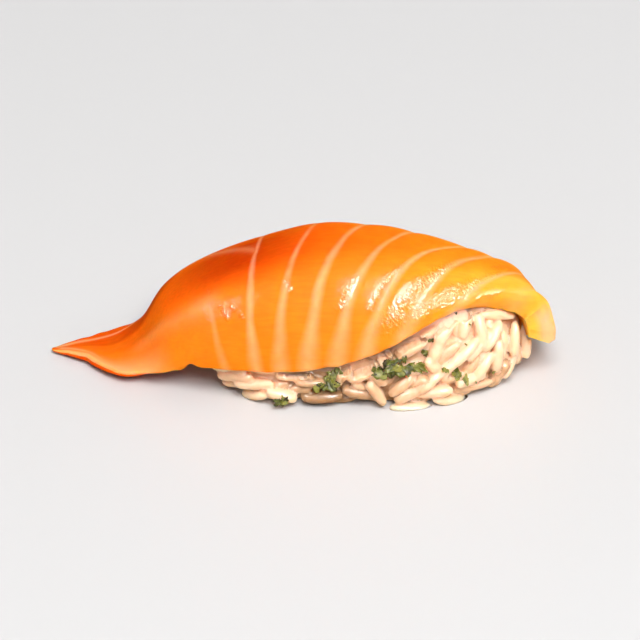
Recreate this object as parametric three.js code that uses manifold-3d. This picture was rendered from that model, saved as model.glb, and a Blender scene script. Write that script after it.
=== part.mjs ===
// Salmon nigiri: a hand-pressed loaf of sushi rice, with bits of chopped green leaf in it, and one long
// slice of raw salmon draped over it. The slice's thin tail lies out on one side, its thick end hangs
// down over the other end of the loaf, and its near edge rises towards that end and bares the rice.
//
// Millimetres, +Z up. X runs along the slice, with the tail at -X, and Y across it, with the side that
// shows more rice at -Y. The origin is under the middle of the whole, on the surface that it stands on.

import * as THREE from "three";
import { mergeVertices } from "three/addons/utils/BufferGeometryUtils.js";
import Module from "manifold-3d";

const { lerp, smoothstep, degToRad } = THREE.MathUtils;
const wasm = await Module();
wasm.setup();

// ---- The slice of salmon ----

// Stations along the slice. Each has the near cut edge, the crest and the far cut edge of its upper
// side, then the flesh's thickness at the crest, the share of it left at the near cut, how far the
// sides turn down in degrees, how boxy the section is (2 is an ellipse), and how far the section leans
// with the line from cut to cut.
const STATIONS = [
  // the tail, from its tip
  [[-43.9, 2.3, 1.0], [-44.0, 3.0, 1.1], [-43.8, 3.7, 1.1], 0.8, 1, 30, 2, 1],
  [[-38.2, -0.6, 2.3], [-38.4, 2.3, 1.9], [-38.4, 4.9, 2.3], 1.4, 0.9, 30, 2, 1],
  [[-32.4, -6.5, 2.8], [-33.0, 1.4, 2.7], [-32.6, 6.4, 3.4], 2.1, 0.5, 35, 2, 1],
  // the shoulder, which climbs the loaf
  [[-26.8, -8.1, 3.0], [-28.6, 0.9, 6.2], [-28.0, 8.0, 4.4], 2.9, 0.5, 55, 2.2, 0],
  [[-22.0, -9.8, 4.7], [-24.2, 0.6, 13.6], [-23.2, 10.4, 5.4], 3.8, 0.4, 75, 2.5, 0],
  [[-16.6, -12.2, 6.6], [-17.8, 0.2, 18.7], [-17.2, 12.8, 6.0], 4.6, 0.35, 82, 2.4, 0],
  // the back
  [[-7.6, -14.1, 7.2], [-8.0, 0.0, 23.5], [-7.8, 14.6, 6.6], 5.1, 0.35, 84, 2.2, 0],
  [[3.0, -14.1, 7.7], [3.4, 0.0, 26.9], [3.6, 14.9, 7.0], 5.2, 0.35, 84, 2.1, 0],
  [[13.4, -13.1, 10.5], [14.0, -0.3, 26.3], [14.6, 14.1, 7.6], 5.2, 0.45, 80, 2.1, 0],
  [[23.4, -11.4, 16.2], [24.2, -0.6, 24.1], [24.8, 12.4, 8.4], 5.0, 0.75, 62, 2, 0],
  [[31.8, -8.9, 19.1], [32.2, -0.9, 21.5], [32.4, 10.6, 9.0], 4.8, 1, 50, 2, 0],
  // the fold over the loaf's end, and the end that hangs down
  [[37.9, -7.7, 19.4], [37.4, -0.9, 19.2], [37.0, 9.4, 8.4], 4.8, 1, 45, 2, 0.3],
  [[41.9, -6.9, 17.2], [41.0, -0.3, 13.8], [40.0, 8.8, 6.4], 4.7, 1, 40, 2, 1],
  [[43.3, -6.4, 12.8], [42.7, 0.4, 8.9], [41.8, 8.4, 4.4], 4.7, 1, 40, 2, 1],
  [[44.0, -5.8, 8.3], [43.2, 1.1, 5.0], [42.2, 8.0, 2.6], 4.7, 1, 40, 2, 1],
].map(([near, crest, far, thick, edge, roll, square, tilt]) => {
  return { near, crest, far, thick, edge, roll, square, tilt };
});
const FAR_EDGE_SHARE = 0.45; // of the flesh, left at the far cut
const TAPER_SHARE = 0.3; // of a half section, over which the flesh thins to its cut edge
const END_SLANT = 0.016; // of the slice's length, that its underside stops short of the hanging end
const STEPS_ALONG = 42;
const STEPS_ACROSS = 18;

// ---- The loaf of rice ----

const LOAF_MIDDLE = [10.8, -0.9, 6.6];
const LOAF_HALF_SIZE = [27.6, 12.1, 15.0];
const LOAF_BOXINESS = 2.4;
const LOAF_FLAT_SHARE = 0.5; // of the half length, that stands flat
const LOAF_END_RISE = 7; // of the underside, towards both ends
const LOAF_BULGE = { x: 9, reach: 8, depth: 1.8, full: -3, none: 6 }; // of the near side's foot
const LOAF_TURN = degToRad(4.5); // about Z
const LOAF_SIDES = [30, 20];

const GRAIN_LENGTH = 6.4;
const GRAIN_THICKNESS = 2.3;
const GRAIN_BLUNTNESS = 1.18; // how far the rings next to the tips swell past a sphere's
const GRAIN_SIDES = [5, 4];
const GRAIN_SPREAD = 0.12; // of a grain's size
const GRAIN_PITCH = 2.9; // least distance between the middles of two grains
const GRAIN_SWING = degToRad(50); // most that a grain turns off its stretch's lie
const GRAIN_LEAN = degToRad(20); // most that a grain leans out of the loaf's surface
const UPRIGHT_TURN = degToRad(75); // of the grains at the covered end, which stand
const UPRIGHT_FROM_TO = [8, 22]; // along the loaf from its middle
const FOOT_HEIGHT = 2.2; // below which grains lie level
const GRAIN_SINK = 0.15; // how deep a grain's middle lies in the core
const GRAIN_THROWS = 2600; // tries at placing one more grain
const SLICE_REACH = 9; // how far from a grain's end the slice is looked for
const GRAIN_SEED = 11;

// Bits of green leaf on the near side: x along, z up, width, height, and turn in degrees.
const LEAF_BITS = [
  [-3.9, 1.6, 3.2, 1.6, 8],
  [4.8, 3.7, 5.4, 2.2, 4],
  [5.8, 6.4, 3.4, 1.8, 20],
  [14.6, 7.2, 4.6, 3.0, 6],
  [18.6, 7.6, 4.6, 3.0, -4],
  [27.2, 5.8, 2.6, 3.2, -20],
];
const LEAF_THICKNESS = 0.9;
const LEAF_SIDES = [7, 4];
const LEAF_STAND = 0.9; // how far a bit stands off the core

const PRESS_GAP = 0.35; // between the rice and the slice that is pressed onto it

// ---- Helpers ----

const MERGE_WITHIN = 1e-4;

// A geometry with only its positions, and shared vertices merged.
function bareGeometry(geometry) {
  const bare = geometry.clone();
  bare.deleteAttribute("normal");
  bare.deleteAttribute("uv");
  return mergeVertices(bare, MERGE_WITHIN);
}

// A closed geometry as a solid.
function solidOf(geometry) {
  const bare = bareGeometry(geometry);
  const triVerts = new Uint32Array(bare.index.array);
  const vertProperties = bare.attributes.position.array;
  return new wasm.Manifold(new wasm.Mesh({ numProp: 3, vertProperties, triVerts }));
}

function geometryOf(solid) {
  const { vertProperties, triVerts, numProp } = solid.getMesh();
  const geometry = new THREE.BufferGeometry();
  geometry.setAttribute("position", new THREE.BufferAttribute(new Float32Array(vertProperties), numProp));
  geometry.setIndex(new THREE.BufferAttribute(new Uint32Array(triVerts), 1));
  geometry.computeVertexNormals();
  return geometry;
}

// The same closed geometry with every face moved out by a distance.
function grown(geometry, distance) {
  const bare = bareGeometry(geometry);
  bare.computeVertexNormals();
  const { position, normal } = bare.attributes;
  for (let i = 0; i < position.count; i += 1) {
    const moved = new THREE.Vector3().fromBufferAttribute(position, i);
    moved.addScaledVector(new THREE.Vector3().fromBufferAttribute(normal, i), distance);
    position.setXYZ(i, ...moved);
  }
  return bare;
}

// ---- The drape of the slice ----

// How far along the crest each station lies.
const STATION_AT = [0];
for (let i = 1; i < STATIONS.length; i += 1) {
  const [before, here] = [STATIONS[i - 1], STATIONS[i]].map(({ crest }) => new THREE.Vector3(...crest));
  STATION_AT.push(STATION_AT[i - 1] + here.distanceTo(before));
}
const CREST_LENGTH = STATION_AT.at(-1);

// One number of the stations, as a smooth curve through them, at a distance along the crest.
function smoothAt(along, numberOf) {
  const last = STATIONS.length - 1;
  let i = 0;
  while (i < last - 1 && along > STATION_AT[i + 1]) i += 1;
  const slope = (k) => {
    const [a, b] = [Math.max(k - 1, 0), Math.min(k + 1, last)];
    return (numberOf(STATIONS[b]) - numberOf(STATIONS[a])) / (STATION_AT[b] - STATION_AT[a]);
  };
  const span = STATION_AT[i + 1] - STATION_AT[i];
  const s = (along - STATION_AT[i]) / span;
  const [from, to] = [numberOf(STATIONS[i]), numberOf(STATIONS[i + 1])];
  const ease = s * s * (3 - 2 * s);
  const bendIn = s * (1 - s) * (1 - s) * span * slope(i);
  const bendOut = s * s * (s - 1) * span * slope(i + 1);
  return lerp(from, to, ease) + bendIn + bendOut;
}

function railAt(along, rail) {
  return new THREE.Vector3(...[0, 1, 2].map((axis) => smoothAt(along, (station) => station[rail][axis])));
}

// A point of the slice's upper side: along is 0 at the tail and 1 at the hanging end, and across is 0
// at the near cut, 0.5 on the crest and 1 at the far cut. A section is an arch on each side of the
// crest, set on a line that leans with the one from cut to cut.
function upperSide(along, across) {
  const at = along * CREST_LENGTH;
  const [near, crest, far] = ["near", "crest", "far"].map((rail) => railAt(at, rail));
  const roll = degToRad(smoothAt(at, (station) => station.roll));
  const power = 2 / smoothAt(at, (station) => station.square);
  const turn = Math.abs(across - 0.5) * 2 * roll;
  const out = (Math.sin(turn) / Math.sin(roll)) ** power;
  const down = 1 - Math.max(0, 1 - (1 - Math.cos(turn)) / (1 - Math.cos(roll))) ** power;
  const chord = far.clone().sub(near).divideScalar(far.y - near.y);
  chord.z *= smoothAt(at, (station) => station.tilt);
  const cut = across < 0.5 ? near : far;
  const drop = cut.clone().sub(crest).addScaledVector(chord, crest.y - cut.y);
  return crest.clone().addScaledVector(chord, out * (cut.y - crest.y)).addScaledVector(drop, down);
}

function upperNormal(along, across) {
  const step = 1e-3;
  const [a0, a1] = [Math.max(along - step, 0), Math.min(along + step, 1)];
  const [c0, c1] = [Math.max(across - step, 0), Math.min(across + step, 1)];
  const lengthwise = upperSide(a1, across).sub(upperSide(a0, across));
  const crosswise = upperSide(along, c1).sub(upperSide(along, c0));
  return lengthwise.cross(crosswise).normalize();
}

function fleshThickness(along, across) {
  const at = along * CREST_LENGTH;
  const thick = smoothAt(at, (station) => station.thick);
  const atCut = across < 0.5 ? smoothAt(at, (station) => station.edge) : FAR_EDGE_SHARE;
  const fromCut = (1 - Math.abs(across - 0.5) * 2) / TAPER_SHARE;
  return thick * lerp(atCut, 1, smoothstep(fromCut, 0, 1));
}

// The lower side stops short at the slanting end cut, and never reaches through the surface that the
// tail lies on.
function lowerSide(along, across) {
  const shortened = along - END_SLANT * smoothstep(along, 0.9, 1);
  const point = upperSide(shortened, across);
  point.addScaledVector(upperNormal(shortened, across), -fleshThickness(shortened, across));
  point.z = Math.max(point.z, 0);
  return point;
}

function sliceGeometry() {
  const geometry = new THREE.BoxGeometry(1, 1, 1, STEPS_ALONG, STEPS_ACROSS, 1);
  const { position } = geometry.attributes;
  for (let i = 0; i < position.count; i += 1) {
    const along = position.getX(i) + 0.5;
    const across = position.getY(i) + 0.5;
    const side = position.getZ(i) > 0 ? upperSide : lowerSide;
    position.setXYZ(i, ...side(along, across));
  }
  return geometry;
}

// ---- The rice ----

// The loaf's surface in a direction from its middle, before it is turned: flat where it stands, with
// an underside that rises to its ends like a boat's.
function loafPoint(direction) {
  const sum = direction.toArray().reduce((total, part) => total + Math.abs(part) ** LOAF_BOXINESS, 0);
  const radius = sum ** (-1 / LOAF_BOXINESS);
  const point = direction.clone().multiplyScalar(radius).multiply(new THREE.Vector3(...LOAF_HALF_SIZE));
  const pastFlat = Math.max(0, Math.abs(point.x) / LOAF_HALF_SIZE[0] - LOAF_FLAT_SHARE);
  const underside = LOAF_END_RISE * (pastFlat / (1 - LOAF_FLAT_SHARE)) ** 2 - LOAF_MIDDLE[2];
  const swell = Math.exp(-(((point.x - LOAF_BULGE.x) / LOAF_BULGE.reach) ** 2));
  const bulge = LOAF_BULGE.depth * swell * (1 - smoothstep(point.z, LOAF_BULGE.full, LOAF_BULGE.none));
  point.z = Math.max(point.z, underside);
  point.y += (bulge * Math.min(point.y, 0)) / LOAF_HALF_SIZE[1];
  return point;
}

function loafNormal(point) {
  const outward = point.toArray().map((part, axis) => {
    const share = part / LOAF_HALF_SIZE[axis];
    return (Math.sign(share) * Math.abs(share) ** (LOAF_BOXINESS - 1)) / LOAF_HALF_SIZE[axis];
  });
  return new THREE.Vector3(...outward).normalize();
}

// From the loaf's own frame to the part's.
const LOAF_PLACE = new THREE.Matrix4().makeRotationZ(LOAF_TURN).setPosition(...LOAF_MIDDLE);

function loafGeometry() {
  const geometry = new THREE.SphereGeometry(1, ...LOAF_SIDES).rotateX(Math.PI / 2);
  const { position } = geometry.attributes;
  for (let i = 0; i < position.count; i += 1) {
    const direction = new THREE.Vector3().fromBufferAttribute(position, i).normalize();
    position.setXYZ(i, ...loafPoint(direction));
  }
  return geometry.applyMatrix4(LOAF_PLACE);
}

// A grain along X, blunter at its tips than an ellipsoid.
function grainGeometry(length, thickness) {
  const geometry = new THREE.SphereGeometry(0.5, ...GRAIN_SIDES).rotateZ(Math.PI / 2);
  const { position } = geometry.attributes;
  for (let i = 0; i < position.count; i += 1) {
    const fromMiddle = Math.abs(position.getX(i));
    const swell = fromMiddle > 0.1 ? GRAIN_BLUNTNESS : 1;
    position.setXYZ(i, position.getX(i), position.getY(i) * swell, position.getZ(i) * swell);
  }
  return geometry.scale(length, thickness, thickness);
}

// True where the slice is met within reach of a point, in a direction.
function meetsSlice(point, direction, slice) {
  return new THREE.Raycaster(point, direction, 0, SLICE_REACH).intersectObject(slice).length > 0;
}

// Grains thrown at the loaf one by one. Each is kept if it is clear of the ones before, has an end that
// the slice doesn't cover, and has none that would stick out through the slice.
function grainSolids(slice) {
  const random = THREE.MathUtils.seededRandom;
  random(GRAIN_SEED);
  const varied = (size) => size * (1 + GRAIN_SPREAD * (2 * random() - 1));
  const middles = [];
  const grains = [];
  for (let i = 0; i < GRAIN_THROWS; i += 1) {
    const direction = new THREE.Vector3(random() * 2 - 1, random() * 2 - 1, random() * 2 - 1);
    const [length, thickness] = [varied(GRAIN_LENGTH), varied(GRAIN_THICKNESS)];
    const [swing, lean] = [2 * random() - 1, 2 * random() - 1];
    const onLoaf = loafPoint(direction.normalize());
    const upright = UPRIGHT_TURN * smoothstep(onLoaf.x, ...UPRIGHT_FROM_TO);
    const outward = loafNormal(onLoaf).transformDirection(LOAF_PLACE);
    const middle = onLoaf.applyMatrix4(LOAF_PLACE).addScaledVector(outward, -GRAIN_SINK);
    const atFoot = middle.z < FOOT_HEIGHT;
    const level = new THREE.Vector3(0, 0, 1).cross(outward).normalize();
    const axis = level.applyAxisAngle(outward, atFoot ? 0 : upright + swing * GRAIN_SWING);
    axis.applyAxisAngle(new THREE.Vector3().crossVectors(outward, axis), atFoot ? 0 : lean * GRAIN_LEAN);
    if (atFoot) middle.z = Math.max(middle.z, thickness / 2);
    const ends = [-0.5, 0.5].map((share) => middle.clone().addScaledVector(axis, share * length));
    const inward = outward.clone().negate();
    const isHidden = ends.every((end) => meetsSlice(end, outward, slice));
    const sticksOut = ends.some((end) => meetsSlice(end, inward, slice));
    const isCrowded = middles.some((other) => other.distanceTo(middle) < GRAIN_PITCH);
    if (isHidden || sticksOut || isCrowded) continue;
    middles.push(middle);
    const placed = new THREE.Quaternion().setFromUnitVectors(new THREE.Vector3(1, 0, 0), axis);
    const place = new THREE.Matrix4().compose(middle, placed, new THREE.Vector3(1, 1, 1));
    grains.push(solidOf(grainGeometry(length, thickness).applyMatrix4(place)));
  }
  return grains;
}

// A bit of leaf: a small pad that thins to its rim, lying against the near side of the loaf.
function leafSolid([x, z, width, height, turn], core) {
  const pad = new THREE.SphereGeometry(0.5, ...LEAF_SIDES).rotateX(Math.PI / 2);
  pad.scale(width, height, LEAF_THICKNESS * 2).rotateZ(degToRad(turn));
  const inward = new THREE.Raycaster(new THREE.Vector3(x, -100, z), new THREE.Vector3(0, 1, 0));
  const { point, normal } = inward.intersectObject(core)[0];
  point.addScaledVector(normal, LEAF_STAND - LEAF_THICKNESS / 2);
  const facing = new THREE.Matrix4().lookAt(normal, new THREE.Vector3(), new THREE.Vector3(0, 0, 1));
  return solidOf(pad.applyMatrix4(facing.setPosition(point)));
}

// The loaf, its grains and its leaf bits in one piece, pressed into shape by the slice, and cut level
// where it stands. What the slice cuts loose is dropped.
function riceGeometry(slice) {
  const core = new THREE.Mesh(loafGeometry());
  const heap = wasm.Manifold.union([
    solidOf(core.geometry),
    ...grainSolids(slice),
    ...LEAF_BITS.map((bit) => leafSolid(bit, core)),
  ]);
  const pressing = solidOf(grown(slice.geometry, PRESS_GAP));
  const standing = solidOf(new THREE.BoxGeometry(200, 200, 40).translate(0, 0, -20));
  const pieces = heap.subtract(pressing).subtract(standing).decompose();
  pieces.sort((a, b) => b.volume() - a.volume());
  return geometryOf(pieces[0]);
}

// ---- The part ----

const salmon = new THREE.MeshStandardMaterial({ color: 0xf98522, roughness: 0.3, metalness: 0 });
salmon.side = THREE.DoubleSide; // a ray meets the slice from below too
const rice = new THREE.MeshStandardMaterial({ color: 0xf0dcc2, roughness: 0.45, metalness: 0 });

const slice = new THREE.Mesh(sliceGeometry(), salmon);
slice.name = "salmon_slice";

const loaf = new THREE.Mesh(riceGeometry(slice), rice);
loaf.name = "rice_loaf";

const nigiri = new THREE.Group();
nigiri.name = "salmon_nigiri";
nigiri.add(slice, loaf);

export default nigiri;
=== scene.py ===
"""Salmon nigiri, dressed: one moist slice of raw salmon with its lines of fat, draped over a hand-pressed
loaf of cooked rice with bits of chopped green leaf.

Lengths in the tables are millimetres in the part's own frame: X runs along the slice from its tail to
its hanging end, -Y is the side that shows more rice, and Z is up. Settings that a user changes are in
metres, as Blender shows them.
"""

import random
from collections import namedtuple
from functools import lru_cache
from math import cos, exp, hypot, pi, radians, sin, sqrt

import bmesh
import bpy
from bpy.props import FloatProperty, FloatVectorProperty, IntProperty, PointerProperty
from mathutils import Matrix, Quaternion, Vector, noise
from mathutils.bvhtree import BVHTree
from mathutils.kdtree import KDTree


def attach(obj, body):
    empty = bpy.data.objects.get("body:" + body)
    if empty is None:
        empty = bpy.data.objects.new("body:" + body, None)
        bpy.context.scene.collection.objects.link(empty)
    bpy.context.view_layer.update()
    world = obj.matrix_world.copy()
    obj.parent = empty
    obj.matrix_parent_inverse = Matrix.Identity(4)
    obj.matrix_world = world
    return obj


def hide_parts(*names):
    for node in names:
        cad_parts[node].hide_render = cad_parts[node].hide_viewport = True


bl_info = {
    "name": "Salmon Nigiri",
    "version": (1, 0, 0),
    "blender": (4, 5, 0),
    "location": "3D View > Sidebar > Nigiri",
    "description": "Dresses the solids of a salmon nigiri with moist flesh, rice grains and green leaf",
    "category": "Add Mesh",
}

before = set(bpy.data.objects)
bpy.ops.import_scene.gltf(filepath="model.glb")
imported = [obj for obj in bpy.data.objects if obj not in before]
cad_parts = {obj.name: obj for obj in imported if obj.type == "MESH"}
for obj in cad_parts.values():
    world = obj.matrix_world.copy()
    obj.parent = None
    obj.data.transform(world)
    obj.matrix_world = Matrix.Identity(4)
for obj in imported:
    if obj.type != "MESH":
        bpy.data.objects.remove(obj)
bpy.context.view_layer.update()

MM = 0.001  # metres
FLOOR_GAP = 0.02  # mm, between the lowest points and the floor


# ---- Small helpers ----


def lerp(a, b, share):
    return a + (b - a) * share


def smoothstep(value, low, high):
    share = min(max((value - low) / (high - low), 0.0), 1.0)
    return share * share * (3 - 2 * share)


def hill(value, middle, reach):
    """1 at the middle, falling softly to nothing past the reach."""
    return exp(-(((value - middle) / reach) ** 2))


def profile_at(profile, at):
    """The value at a place of a profile, which is a list of places and values."""
    i = max((k for k, (place, _) in enumerate(profile[:-1]) if place <= at), default=0)
    (low, here), (high, there) = profile[i : i + 2]
    return lerp(here, there, (at - low) / (high - low))


def to_linear(code):
    """An sRGB hex code as the linear colour that Blender works in."""
    parts = [int(code[i : i + 2], 16) / 255 for i in (0, 2, 4)]
    return (*(p / 12.92 if p <= 0.04045 else ((p + 0.055) / 1.055) ** 2.4 for p in parts), 1.0)


def per_mm(size):
    """The texture scale on Object coordinates at which one cell of the pattern is this many mm."""
    return 1 / (size * MM)


def add_node(tree, kind, inputs=None, **settings):
    """Adds a node with its settings. Each input gets a value, or a link if it is a socket."""
    node = tree.nodes.new(kind)
    for name, value in settings.items():
        setattr(node, name, value)
    for name, value in (inputs or {}).items():
        if isinstance(value, bpy.types.NodeSocket):
            tree.links.new(value, node.inputs[name])
        else:
            node.inputs[name].default_value = value
    return node


def new_material(name):
    """An empty material, its node tree, and its output node."""
    material = bpy.data.materials.new(name)
    material.use_nodes = True
    material.node_tree.nodes.clear()
    output = material.node_tree.nodes.new("ShaderNodeOutputMaterial")
    return material, material.node_tree, output


def set_ramp(node, stops):
    """Sets a Color Ramp's stops, each a position and a colour."""
    elements = node.color_ramp.elements
    while len(elements) < len(stops):
        elements.new(1.0)
    for element, (position, colour) in zip(elements, stops):
        element.position = position
        element.color = colour


def add_piece(bm, name, material, stands_for):
    """Makes a finished mesh a smooth piece of the nigiri that stands for one of its solids."""
    for face in bm.faces:
        face.smooth = True
    mesh = bpy.data.meshes.new(name)
    bm.to_mesh(mesh)
    bm.free()
    mesh.materials.append(material)
    piece = bpy.data.objects.new(name, mesh)
    bpy.context.scene.collection.objects.link(piece)
    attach(piece, "root")
    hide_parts(stands_for)
    return piece


# ---- The drape of the slice, as in the solids ----

Station = namedtuple("Station", "near crest far thick edge roll square tilt")

# Stations along the slice: the near cut edge, the crest and the far cut edge of its upper side, the
# flesh's thickness at the crest, the share of it left at the near cut, how far the sides turn down in
# degrees, how boxy the section is (2 is an ellipse), and how far it leans with the line from cut to cut.
STATIONS = [
    # the tail, from its tip
    Station((-44.1, 2.6, 1.0), (-44.2, 3.0, 1.1), (-44.1, 3.4, 1.1), 0.55, 1, 30, 2, 1),
    Station((-38.2, -0.6, 2.3), (-38.4, 2.3, 1.9), (-38.4, 4.9, 2.3), 1.4, 0.9, 30, 2, 1),
    Station((-32.4, -6.5, 2.8), (-33.0, 1.4, 2.7), (-32.6, 6.4, 3.4), 2.1, 0.5, 35, 2, 1),
    # the shoulder, which climbs the loaf
    Station((-26.8, -8.1, 3.0), (-28.6, 0.9, 6.2), (-28.0, 8.0, 4.4), 2.9, 0.5, 55, 2.2, 0),
    Station((-22.0, -9.8, 4.7), (-24.2, 0.6, 13.6), (-23.2, 10.4, 5.4), 3.8, 0.4, 75, 2.5, 0),
    Station((-16.6, -12.2, 6.6), (-17.8, 0.2, 18.7), (-17.2, 12.8, 6.0), 4.6, 0.35, 82, 2.4, 0),
    # the back
    Station((-7.6, -14.1, 7.2), (-8.0, 0.0, 23.5), (-7.8, 14.6, 6.6), 5.1, 0.35, 84, 2.2, 0),
    Station((3.0, -14.1, 7.7), (3.4, 0.0, 26.9), (3.6, 14.9, 7.0), 5.2, 0.35, 84, 2.1, 0),
    Station((13.4, -13.1, 10.5), (14.0, -0.3, 26.3), (14.6, 14.1, 7.6), 5.2, 0.45, 80, 2.1, 0),
    Station((23.4, -11.4, 16.2), (24.2, -0.6, 24.1), (24.8, 12.4, 8.4), 5.0, 0.75, 62, 2, 0),
    Station((31.8, -8.9, 19.1), (32.2, -0.9, 21.5), (32.4, 10.6, 9.0), 4.8, 1, 50, 2, 0),
    # the fold over the loaf's end, and the end that hangs down
    Station((37.9, -7.7, 19.4), (37.4, -0.9, 19.2), (37.0, 9.4, 8.4), 4.8, 1, 45, 2, 0.3),
    Station((41.9, -6.9, 17.2), (41.0, -0.3, 13.8), (40.0, 8.8, 6.4), 4.7, 1, 40, 2, 1),
    Station((43.3, -6.4, 12.8), (42.7, 0.4, 8.9), (41.8, 8.4, 4.4), 4.7, 1, 40, 2, 1),
    Station((44.0, -5.8, 8.3), (43.2, 1.1, 5.0), (42.2, 8.0, 2.6), 4.7, 1, 40, 2, 1),
]
FAR_EDGE_SHARE = 0.45  # of the flesh, left at the far cut
TAPER_SHARE = 0.3  # of a half section, over which the flesh thins to its cut edge
END_SLANT = 0.016  # of the slice's length, that its underside stops short of the hanging end

STATION_AT = [0.0]  # how far along the crest each station lies
for before, here in zip(STATIONS, STATIONS[1:]):
    STATION_AT.append(STATION_AT[-1] + (Vector(here.crest) - Vector(before.crest)).length)
CREST_LENGTH = STATION_AT[-1]


def smooth_at(at, number_of):
    """One number of the stations, as a smooth curve through them, at a distance along the crest."""
    last = len(STATIONS) - 1
    i = 0
    while i < last - 1 and at > STATION_AT[i + 1]:
        i += 1

    def slope(k):
        a, b = max(k - 1, 0), min(k + 1, last)
        return (number_of(STATIONS[b]) - number_of(STATIONS[a])) / (STATION_AT[b] - STATION_AT[a])

    span = STATION_AT[i + 1] - STATION_AT[i]
    s = (at - STATION_AT[i]) / span
    ease = s * s * (3 - 2 * s)
    bend_in = s * (1 - s) ** 2 * span * slope(i)
    bend_out = s * s * (s - 1) * span * slope(i + 1)
    return lerp(number_of(STATIONS[i]), number_of(STATIONS[i + 1]), ease) + bend_in + bend_out


@lru_cache(maxsize=None)
def section_at(along):
    """The smoothed station at a share of the slice's length."""
    at = along * CREST_LENGTH
    rails = [
        Vector([smooth_at(at, lambda station: getattr(station, rail)[axis]) for axis in range(3)])
        for rail in ("near", "crest", "far")
    ]
    names = ("thick", "edge", "roll", "square", "tilt")
    return Station(*rails, *(smooth_at(at, lambda station: getattr(station, name)) for name in names))


def upper_side(along, across):
    """A point of the slice's upper side: along is 0 at the tail and 1 at the hanging end, and across
    is 0 at the near cut, 0.5 on the crest and 1 at the far cut."""
    section = section_at(along)
    near, crest, far = section.near, section.crest, section.far
    roll = radians(section.roll)
    power = 2 / section.square
    turn = abs(across - 0.5) * 2 * roll
    out = (sin(turn) / sin(roll)) ** power
    down = 1 - max(0.0, 1 - (1 - cos(turn)) / (1 - cos(roll))) ** power
    chord = (far - near) / (far.y - near.y)
    chord.z *= section.tilt
    cut = near if across < 0.5 else far
    drop = cut - crest + chord * (crest.y - cut.y)
    return crest + chord * (out * (cut.y - crest.y)) + drop * down


def upper_normal(along, across):
    step = 1e-3
    a0, a1 = max(along - step, 0.0), min(along + step, 1.0)
    c0, c1 = max(across - step, 0.0), min(across + step, 1.0)
    lengthwise = upper_side(a1, across) - upper_side(a0, across)
    crosswise = upper_side(along, c1) - upper_side(along, c0)
    return lengthwise.cross(crosswise).normalized()


def flesh_thickness(along, across):
    section = section_at(along)
    at_cut = section.edge if across < 0.5 else FAR_EDGE_SHARE
    from_cut = (1 - abs(across - 0.5) * 2) / TAPER_SHARE
    return section.thick * lerp(at_cut, 1, smoothstep(from_cut, 0, 1))


def lower_side(along, across):
    """A point of the underside, which stops short at the slanting end cut and stays above the floor."""
    shortened = along - END_SLANT * smoothstep(along, 0.9, 1)
    point = upper_side(shortened, across)
    point -= upper_normal(shortened, across) * flesh_thickness(shortened, across)
    point.z = max(point.z, 0.0)
    return point


# ---- The flesh ----

# The lines of fat, from the tail: where each one is (X) at the near cut, half way up the near side and
# on the crest, how wide it is, and how strongly it shows.
FatLine = namedtuple("FatLine", "foot middle crest width strength")
FAT_LINES = [
    FatLine(-13.4, -15.9, -16.3, 0.6, 0.45),
    FatLine(-8.0, -9.15, -8.0, 0.85, 0.8),
    FatLine(-3.8, -3.45, 0.3, 1.05, 0.7),
    FatLine(0.9, 2.75, 8.0, 1.3, 0.85),
    FatLine(5.7, 8.9, 15.7, 1.3, 0.85),
    FatLine(10.6, 15.4, 24.1, 1.3, 0.9),
    FatLine(16.9, 23.2, 30.1, 1.5, 0.95),
    FatLine(25.7, 32.2, 37.5, 1.4, 0.9),
    FatLine(37.0, 40.0, 41.5, 1.6, 0.35),
]
FAR_SWEEP = 0.5  # how far a line keeps its course past the crest before it turns straight
GAP_BEFORE_FIRST = 6.0
GAP_AFTER_LAST = 9.0
FOOT_SPREAD = 0.9  # how much wider and fainter a line is at the near cut
FOOT_SPREAD_REACH = 0.2  # of the way across
CREST_SHARE = 0.62  # of a line's width and strength, left on the crest

# Wet, finely grained streaks, mostly on the slopes of the flakes that face the hanging end. Each runs
# from one place to another, given as a phase between the lines of fat and a share of the way across,
# and has a reach in mm at both places and a strength.
Streak = namedtuple("Streak", "start end start_reach end_reach strength")
WET_STREAKS = [
    Streak((6.55, 0.12), (6.95, 0.34), 2.6, 1.5, 1.0),
    Streak((7.1, 0.11), (7.75, 0.14), 1.9, 1.7, 1.0),
    Streak((7.75, 0.14), (7.93, 0.3), 1.7, 1.2, 1.0),
    Streak((7.72, 0.43), (7.8, 0.45), 1.2, 1.0, 0.9),
    Streak((8.3, 0.04), (8.6, 0.05), 0.5, 0.3, 0.8),
    Streak((5.7, 0.17), (5.86, 0.34), 0.8, 0.6, 0.75),
    Streak((4.8, 0.18), (4.93, 0.28), 0.8, 0.5, 0.85),
    Streak((3.0, 0.31), (3.2, 0.27), 0.3, 0.2, 0.9),
    Streak((1.25, 0.27), (1.4, 0.2), 0.4, 0.3, 1.0),
    Streak((1.5, 0.26), (1.6, 0.23), 0.3, 0.2, 0.9),
    Streak((1.75, 0.21), (1.8, 0.2), 0.3, 0.3, 0.9),
    Streak((1.0, 0.37), (1.05, 0.35), 0.4, 0.3, 0.9),
]

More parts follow.
